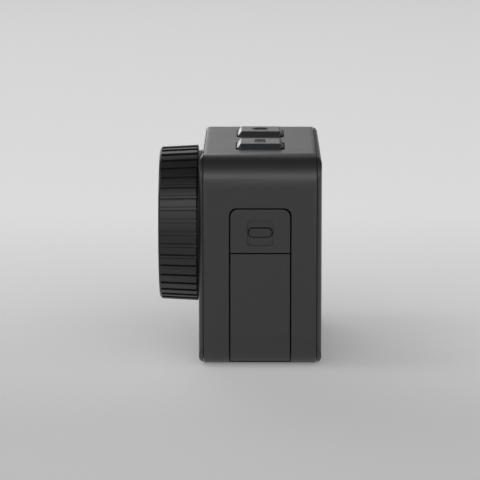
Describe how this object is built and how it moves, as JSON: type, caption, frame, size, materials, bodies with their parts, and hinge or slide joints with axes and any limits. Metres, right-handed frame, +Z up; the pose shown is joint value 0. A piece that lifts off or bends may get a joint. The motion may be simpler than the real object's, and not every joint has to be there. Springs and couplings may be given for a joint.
{
  "type": "action camera",
  "caption": "Rounded action camera with a knurled lens ring, latched side door, top buttons, front and rear displays and fold-out mounting fingers.",
  "frame": {"origin": "centre of the whole camera's footprint, on the base plane", "axes": "+X towards the side door, -Y out of the lens, +Z up from the base"},
  "size_m": [0.072, 0.04, 0.0533],
  "materials": {
    "housing_plastic": "fine-textured charcoal polycarbonate",
    "inner_plastic": "moulded black plastic",
    "button_plastic": "satin charcoal plastic",
    "icon_ink": "printed black",
    "display_glass": "black cover glass",
    "lens_glass": "coated optical glass",
    "display_panel": "dark display",
    "ring_metal": "black anodised, satin",
    "steel": "plain steel",
    "finger_metal": "dark anodised",
    "contact_gold": "plated contacts",
    "circuit_board": "solder mask",
    "seal_rubber": "soft black rubber",
    "battery_wrap": "grey battery case",
    "light_pipe": "milky light guide",
    "card_plastic": "moulded card"
  },
  "bodies": {
    "housing": {"shell": "housing_plastic", "front_panel": "housing_plastic", "rear_frame": "housing_plastic", "rear_touch_glass": "display_glass", "rear_display": "display_panel", "front_display_glass": "display_glass", "front_display": "display_panel", "status_lights": "light_pipe", "lens_collar": "ring_metal", "lens_barrel": "ring_metal", "front_lens_element": "lens_glass", "rear_lens_group": "lens_glass", "image_sensor": "display_panel", "sensor_board": "circuit_board", "main_board": "circuit_board", "processor_shield": "steel", "heat_spreader": "finger_metal", "battery_bay": "inner_plastic", "battery": "battery_wrap", "battery_pull_tab": "battery_wrap", "battery_contacts": "contact_gold", "port_bezel": "inner_plastic", "charging_port": "steel", "card_socket": "steel", "memory_card": "card_plastic", "speaker": "inner_plastic", "speaker_mesh": "steel", "microphones": "steel", "button_board": "circuit_board", "button_switches": "steel", "shutter_seal": "seal_rubber", "mode_seal": "seal_rubber", "base_plate": "housing_plastic", "tripod_insert": "steel", "base_screws": "steel", "case_screws": "steel", "finger_pins": "steel", "door_hinge_pin": "steel", "latch_keeper": "steel"},
    "lens_ring": {"knurled_ring": "ring_metal", "ring_rim": "ring_metal", "ring_glass": "lens_glass", "ring_gasket": "seal_rubber", "ring_retainer": "steel"},
    "shutter": {"shutter_button": "button_plastic", "shutter_icon": "icon_ink"},
    "mode": {"mode_button": "button_plastic", "mode_icon": "icon_ink"},
    "door": {"door_panel": "housing_plastic", "door_cap": "housing_plastic", "door_liner": "inner_plastic", "door_seal": "seal_rubber"},
    "latch": {"latch_slider": "button_plastic", "latch_tongue": "steel"},
    "left_finger": {"finger_left": "finger_metal"},
    "right_finger": {"finger_right": "finger_metal"}
  },
  "joints": [
    {"name": "lens_ring_turn", "type": "hinge", "parent": "housing", "child": "lens_ring", "pos_m": [0.0157, -0.0153, 0.033], "axis": [0, -1, 0], "range_deg": [0, 60]},
    {"name": "shutter_press", "type": "slide", "parent": "housing", "child": "shutter", "axis": [0, 0, -1], "range_m": [0, 0.0005], "stiffness_N_per_m": 1500, "springref_m": -0.001},
    {"name": "mode_press", "type": "slide", "parent": "housing", "child": "mode", "axis": [0, 0, -1], "range_m": [0, 0.0005], "stiffness_N_per_m": 1500, "springref_m": -0.001},
    {"name": "door_open", "type": "hinge", "parent": "housing", "child": "door", "pos_m": [0.03184, 0.00495, 0.00252], "axis": [0, 1, 0], "range_deg": [0, 110]},
    {"name": "latch_slide", "type": "slide", "parent": "door", "child": "latch", "axis": [0, 0, -1], "range_m": [0, 0.0014], "stiffness_N_per_m": 200, "springref_m": -0.001},
    {"name": "left_finger_fold", "type": "hinge", "parent": "housing", "child": "left_finger", "pos_m": [-0.0032, 0.00495, 0.00165], "axis": [0, -1, 0], "range_deg": [0, 90]},
    {"name": "right_finger_fold", "type": "hinge", "parent": "housing", "child": "right_finger", "pos_m": [0.0032, 0.00495, 0.00165], "axis": [0, 1, 0], "range_deg": [0, 90]}
  ]
}
